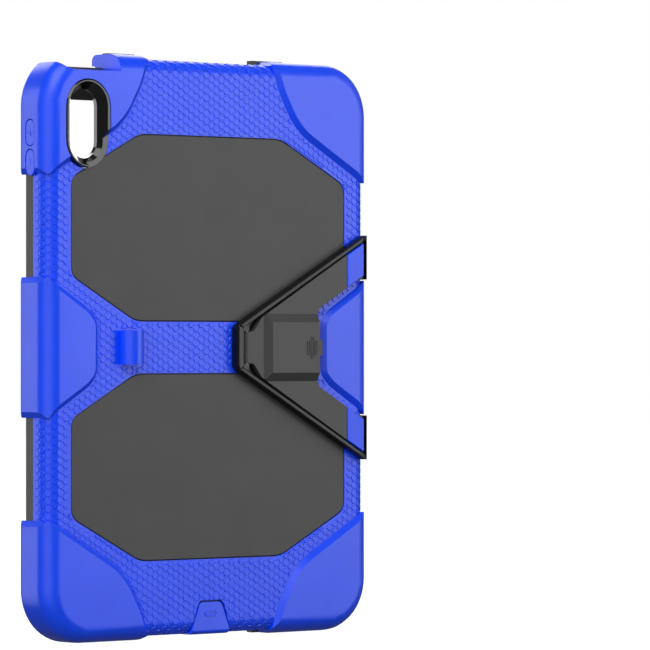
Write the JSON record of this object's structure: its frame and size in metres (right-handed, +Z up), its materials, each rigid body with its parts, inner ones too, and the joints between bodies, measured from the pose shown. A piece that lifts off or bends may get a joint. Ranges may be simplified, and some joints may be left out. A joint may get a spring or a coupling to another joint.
{
  "type": "tablet case",
  "caption": "Rugged tablet case with a hard frame and shell, silicone skin with corner bumpers, and a folding clip-on stand.",
  "frame": {"origin": "middle of the case's footprint, on the surface under its bottom bumpers, as it stands on a short edge", "axes": "+Z up along the long side, +Y out of the back towards the stand, +X towards the camera side"},
  "size_m": [0.1994, 0.027, 0.2728],
  "materials": {
    "hard_frame": "fine moulded grain, matte dark grey",
    "hard_shell": "fine moulded grain, matte dark grey",
    "gloss_ring": "polished black with bevelled walls",
    "silicone": "smooth matte blue silicone with a honeycomb relief between the bumpers",
    "stand_black": "satin black moulded plastic",
    "stand_grey": "fine moulded grain, matte dark grey",
    "foot_rubber": "smooth blue rubber",
    "pin_steel": "ground steel pin"
  },
  "bodies": {
    "case": {"front_frame": "hard_frame", "back_shell": "hard_shell", "camera_surround": "gloss_ring", "outer_skin": "silicone", "flap_anchor": "silicone", "stand_clip": "stand_black", "leg_hinge_pin": "pin_steel", "strut_pin": "pin_steel"},
    "legs": {"stand_legs": "stand_grey", "upper_foot": "foot_rubber", "lower_foot": "foot_rubber"},
    "strut": {"support_strut": "stand_grey"},
    "flap": {"port_flap": "silicone"},
    "volume_up": {"volume_up_button": "silicone"},
    "volume_down": {"volume_down_button": "silicone"}
  },
  "joints": [
    {"name": "stand_hinge", "type": "hinge", "parent": "case", "child": "legs", "pos_m": [-0.0196, 0.0084, 0.136], "axis": [0, 0, -1], "range_deg": [0, 60]},
    {"name": "strut_hinge", "type": "hinge", "parent": "case", "child": "strut", "pos_m": [-0.0296, 0.0075, 0.136], "axis": [0, 0, -1], "range_deg": [0, 80]},
    {"name": "port_flap_hinge", "type": "hinge", "parent": "case", "child": "flap", "pos_m": [0, -0.0106, 0.002], "axis": [-1, 0, 0], "range_deg": [0, 100]},
    {"name": "volume_up_press", "type": "slide", "parent": "case", "child": "volume_up", "axis": [-1, 0, 0], "range_m": [0, 0.0008], "stiffness_N_per_m": 1500},
    {"name": "volume_down_press", "type": "slide", "parent": "case", "child": "volume_down", "axis": [-1, 0, 0], "range_m": [0, 0.0008], "stiffness_N_per_m": 1500}
  ],
  "couplings": [
    {"joint": "strut_hinge", "follows": "stand_hinge", "ratio": 1.33}
  ]
}
